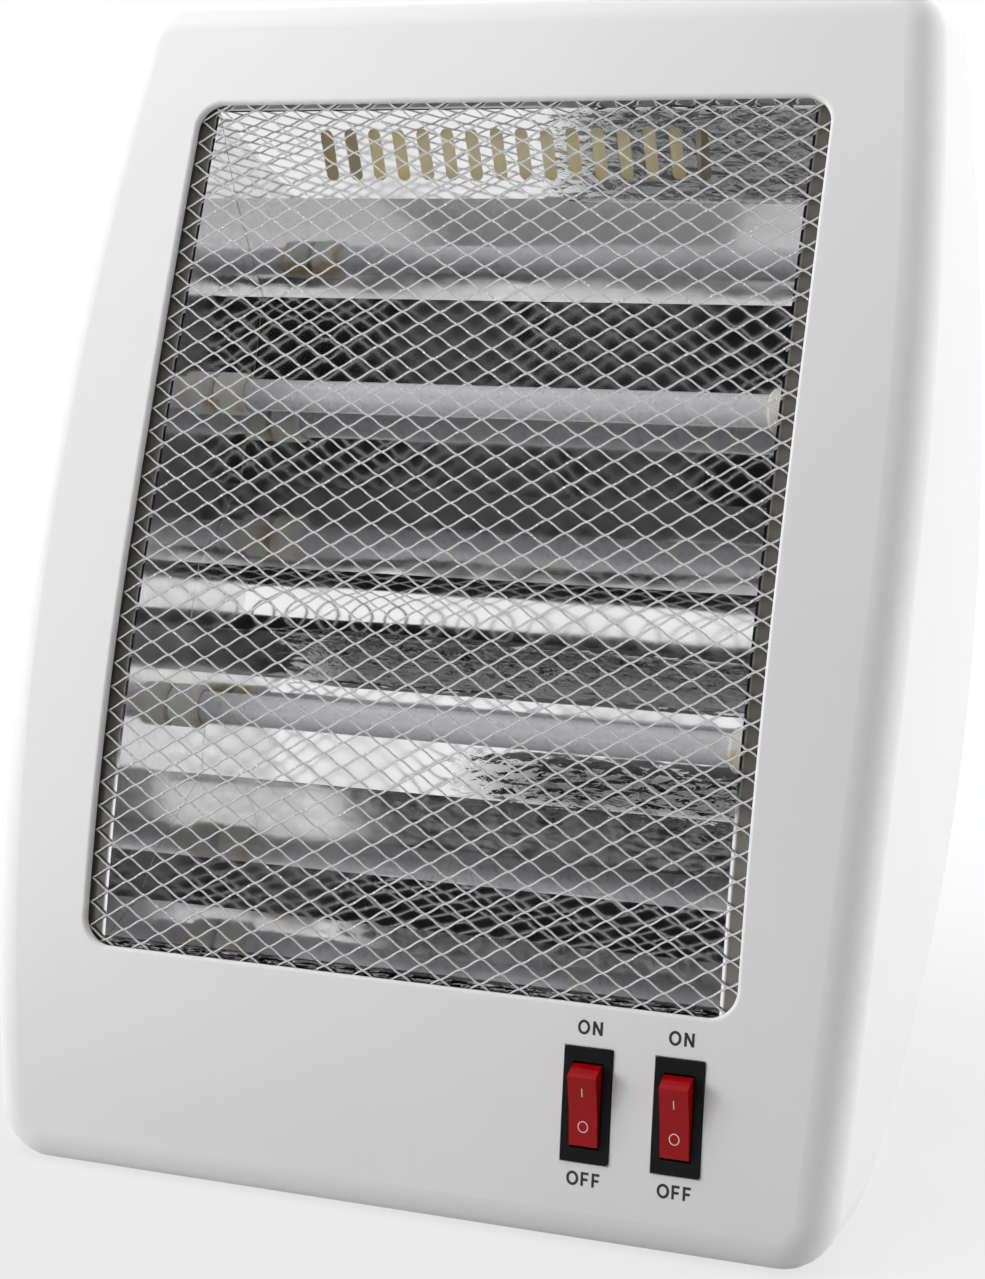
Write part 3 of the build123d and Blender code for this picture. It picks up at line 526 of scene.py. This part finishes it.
def swept(points, width, depth, sides):
    """Tube round a line of points on the panel, given as x and rise, at the net's depth."""
    vertices = []
    faces = []
    for index, (x, rise) in enumerate(points):
        before = points[max(index - 1, 0)]
        after = points[min(index + 1, len(points) - 1)]
        run = hypot(after[0] - before[0], after[1] - before[1])
        across = ((before[1] - after[1]) / run, (after[0] - before[0]) / run)
        for side in range(sides):
            turn = 2 * pi * (side + 0.5) / sides
            out = width / 2 * cos(turn)
            back = depth / 2 * sin(turn)
            vertices.append(front_point(x + across[0] * out, rise + across[1] * out, net_depth + back))
        if index > 0:
            ring = (index - 1) * sides
            for side in range(sides):
                beside = (side + 1) % sides
                faces.append((ring + side, ring + beside, ring + sides + beside, ring + sides + side))
    faces.append(tuple(range(sides - 1, -1, -1)))
    faces.append(tuple(range(len(vertices) - sides, len(vertices))))
    return vertices, faces


def make_net():
    """Expanded-metal guard: strands that touch their neighbours at the bonds, and its right edge."""
    lines = [strand_line(row) for row in range(2 * diamond_rows)]
    edge_steps = range(2 * diamond_rows + 1)
    lines.append([(net_right, net_low + step * diamond_height / 2) for step in edge_steps])
    vertices = []
    faces = []
    for line in lines:
        new_vertices, new_faces = swept(line, strand_width, strand_depth, strand_sides)
        first = len(vertices)
        vertices += new_vertices
        faces += [tuple(first + corner for corner in face) for face in new_faces]
    net = new_mesh("guard_strands", vertices, faces, net_material, "heater")
    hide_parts("guard_net")


def oval(centre, radius_x, radius_y, steps):
    """Points once round an ellipse, the last one back on the first."""
    points = []
    for step in range(steps + 1):
        turn = 2 * pi * step / steps
        points.append((centre[0] + radius_x * cos(turn), centre[1] + radius_y * sin(turn)))
    return points


# Letters as strokes in a box one unit high; each is its width and its strokes
letters = {
    "O": (0.84, [oval((0.42, 0.5), 0.37, 0.44, letter_steps)]),
    "N": (0.76, [[(0.1, 0), (0.1, 1)], [(0.12, 0.94), (0.64, 0.06)], [(0.66, 0), (0.66, 1)]]),
    "F": (0.58, [[(0.06, 0), (0.06, 0.94), (0.56, 0.94)], [(0.06, 0.49), (0.5, 0.49)]]),
}
letter_gap = 0.26


def ribbon(points, width):
    """Pairs of corners along a flat stroke, one for each point, and whether it closes."""
    closed = hypot(points[0][0] - points[-1][0], points[0][1] - points[-1][1]) < width / 100
    if closed:
        points = points[:-1]
    count = len(points)
    pairs = []
    for index, (x, y) in enumerate(points):
        before = points[index - 1] if closed or index > 0 else None
        after = points[(index + 1) % count] if closed or index < count - 1 else None
        directions = []
        for start, end in ((before, (x, y)), ((x, y), after)):
            if start and end:
                run = hypot(end[0] - start[0], end[1] - start[1])
                directions.append(((end[0] - start[0]) / run, (end[1] - start[1]) / run))
        normals = [(-dy, dx) for dx, dy in directions]
        total = (sum(n[0] for n in normals), sum(n[1] for n in normals))
        size = total[0] * normals[0][0] + total[1] * normals[0][1]
        reach = width / 2 / size
        corner = (total[0] * reach, total[1] * reach)
        pairs.append(((x - corner[0], y - corner[1]), (x + corner[0], y + corner[1])))
    return pairs, closed


class Decal:
    """Flat strokes laid on a node's surface, seen along a frame's z axis."""

    def __init__(self, node, placing, lift):
        self.tree = BVHTree.FromPolygons(
            [vertex.co for vertex in nodes[node].data.vertices],
            [polygon.vertices for polygon in nodes[node].data.polygons],
        )
        self.placing = placing
        self.lift = lift
        self.vertices = []
        self.faces = []

    def lay(self, place):
        """Point on the surface under a flat point."""
        out = self.placing.to_3x3() @ Vector((0, 0, 1))
        start = self.placing @ Vector((place[0], place[1], ray_start))
        hit = self.tree.ray_cast(start, -out, ray_reach)[0]
        return hit + out * self.lift

    def stroke(self, points, width):
        """Flat stroke of that width along the points."""
        pairs, closed = ribbon(points, width)
        first = len(self.vertices)
        for low, high in pairs:
            self.vertices += [self.lay(low), self.lay(high)]
        count = len(pairs)
        for index in range(count if closed else count - 1):
            here = first + 2 * index
            there = first + 2 * ((index + 1) % count)
            self.faces.append((here, there, there + 1, here + 1))

    def word(self, text, height, stroke):
        """Word whose middle lies at the frame's origin, standing on its x axis."""
        widths = [letters[letter][0] for letter in text]
        x = -(sum(widths) + letter_gap * (len(text) - 1)) / 2
        for letter, width in zip(text, widths):
            for points in letters[letter][1]:
                self.stroke([((x + px) * height, py * height) for px, py in points], stroke)
            x += width + letter_gap

    def finish(self, name, material, body):
        new_mesh(name, self.vertices, self.faces, material, body)


def panel_frame(x, rise):
    """Frame on the front face: x to the right, y up the panel, z out of it."""
    z_axis = outward(rise)
    x_axis = Vector((1, 0, 0))
    y_axis = z_axis.cross(x_axis)
    rotation = Matrix((x_axis, y_axis, z_axis)).transposed().to_4x4()
    return Matrix.Translation(front_point(x, rise)) @ rotation


def make_lettering():
    """ON above and OFF below each switch, with I and O on its rocker."""
    for side in ("left", "right"):
        low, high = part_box("switch_housing_" + side)
        x = (low.x + high.x) / 2
        for text, rise in (("ON", on_rise), ("OFF", off_rise)):
            decal = Decal("front_cover", panel_frame(x, rise), letter_lift)
            decal.word(text, letter_height, letter_stroke)
            decal.finish("word_" + text.lower() + "_" + side, black_ink, "heater")
        low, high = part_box("rocker_" + side)
        middle = (low + high) / 2
        placing = panel_frame(x, middle.z - sill_height)
        placing.translation = middle
        decal = Decal("rocker_" + side, placing, mark_lift)
        decal.stroke([(0, i_mark_low), (0, i_mark_high)], mark_stroke)
        o_mark = oval((0, o_mark_middle), o_mark_half_width, o_mark_half_height, mark_steps)
        decal.stroke(o_mark, mark_stroke)
        decal.finish("rocker_marks_" + side, pale_ink, "rocker_" + side)


def make_camera():
    data = bpy.data.cameras.new("camera")
    data.lens = camera_lens
    data.sensor_fit = "VERTICAL"
    data.sensor_height = camera_film
    data.clip_start = 10 * mm
    camera = bpy.data.objects.new("camera", data)
    camera.location = camera_place
    camera.rotation_mode = "QUATERNION"
    camera.rotation_quaternion = camera_direction.to_track_quat("-Z", "Y")
    bpy.context.collection.objects.link(camera)
    bpy.context.scene.camera = camera


def aim(thing, place, target, front):
    """Puts a lamp or card at place, with its front axis towards the target."""
    thing.location = place
    thing.rotation_mode = "QUATERNION"
    thing.rotation_quaternion = (target - Vector(place)).to_track_quat(front, "Y")
    bpy.context.collection.objects.link(thing)


def soft_lamp(name, place, size, watts):
    """Square lamp that lights the object, and isn't mirrored in its metal."""
    data = bpy.data.lights.new(name, "AREA")
    data.size = size
    data.energy = watts
    lamp = bpy.data.objects.new(name, data)
    lamp.visible_glossy = False
    aim(lamp, place, light_target, "-Z")


def seen_directly(tree):
    """One for camera, glossy and transmission rays, zero for the rest."""
    path = tree.nodes.new("ShaderNodeLightPath")
    total = path.outputs["Is Camera Ray"]
    for name in ("Is Glossy Ray", "Is Transmission Ray"):
        highest = tree.nodes.new("ShaderNodeMath")
        highest.operation = "MAXIMUM"
        tree.links.new(total, highest.inputs[0])
        tree.links.new(path.outputs[name], highest.inputs[1])
        total = highest.outputs["Value"]
    return total


def make_world():
    """White to the eye and in reflections, and a faint fill light for everything else."""
    world = bpy.data.worlds.new("studio")
    bpy.context.scene.world = world
    world.use_nodes = True
    tree = world.node_tree
    background = tree.nodes["Background"]
    background.inputs["Color"].default_value = (1, 1, 1, 1)
    strength = tree.nodes.new("ShaderNodeMapRange")
    tree.links.new(seen_directly(tree), strength.inputs["Value"])
    strength.inputs["To Min"].default_value = world_fill
    strength.inputs["To Max"].default_value = 1.0
    tree.links.new(strength.outputs["Result"], background.inputs["Strength"])


def make_floor():
    """Round pale floor that fades into the white background away from the object."""
    turns = [2 * pi * side / floor_sides for side in range(floor_sides)]
    ring = [(floor_radius * cos(turn), floor_radius * sin(turn), 0) for turn in turns]
    mesh = bpy.data.meshes.new("floor")
    mesh.from_pydata(ring, [], [tuple(range(floor_sides))])
    shader = Shader("floor_paint", (floor_grey,) * 3, roughness=0.8)
    tree = shader.tree
    shader.colour(shader.blend(shader.noise(3, 2), (floor_grey - 0.01,) * 3, (floor_grey + 0.01,) * 3))
    glow = shader.add("ShaderNodeEmission")
    distance = shader.add("ShaderNodeVectorMath", operation="LENGTH")
    shader.link(shader.places, distance.inputs[0])
    white = shader.spread(distance.outputs["Value"], floor_near, floor_far, floor_near_whiteness, 1)
    share = shader.maths("MULTIPLY", white, seen_directly(tree))
    mix = shader.add("ShaderNodeMixShader")
    shader.link(share, mix.inputs[0])
    shader.link(shader.surface.outputs[0], mix.inputs[1])
    shader.link(glow.outputs[0], mix.inputs[2])
    shader.link(mix.outputs[0], tree.nodes["Material Output"].inputs["Surface"])
    mesh.materials.append(shader.material)
    floor = bpy.data.objects.new("floor", mesh)
    bpy.context.collection.objects.link(floor)


def make_card(name, place, target, size, shade):
    """Dark card that only shows in reflections, as a studio's unlit side does; the card on the floor is
    painted shadow of the object.
    """
    x, y = size[0] / 2, size[1] / 2
    mesh = bpy.data.meshes.new(name)
    mesh.from_pydata([(-x, -y, 0), (x, -y, 0), (x, y, 0), (-x, y, 0)], [], [(0, 1, 2, 3)])
    material = bpy.data.materials.new(name + "_paint")
    material.use_nodes = True
    tree = material.node_tree
    tree.nodes.clear()
    glow = tree.nodes.new("ShaderNodeEmission")
    glow.inputs["Color"].default_value = (shade, shade, shade, 1)
    output = tree.nodes.new("ShaderNodeOutputMaterial")
    tree.links.new(glow.outputs[0], output.inputs["Surface"])
    mesh.materials.append(material)
    card = bpy.data.objects.new(name, mesh)
    aim(card, place, target, "Z")
    card.visible_camera = False
    card.visible_diffuse = False
    card.visible_shadow = False
    card.visible_transmission = False


bpy.context.scene.view_settings.view_transform = "Standard"
dress_nodes()
make_net()
make_lettering()
make_camera()
make_world()
make_floor()
for name, (place, size, watts) in lamps.items():
    soft_lamp(name, place, size, watts)
make_card("high_card", high_card_place, light_target, high_card_size, high_card_shade)
# Painted shadow on the floor in front of the object, seen only in reflections
make_card("floor_shadow_card", floor_shadow_card_place, floor_shadow_card_place + Vector((0, 0, 1)), floor_shadow_card_size, floor_shadow_card_shade)
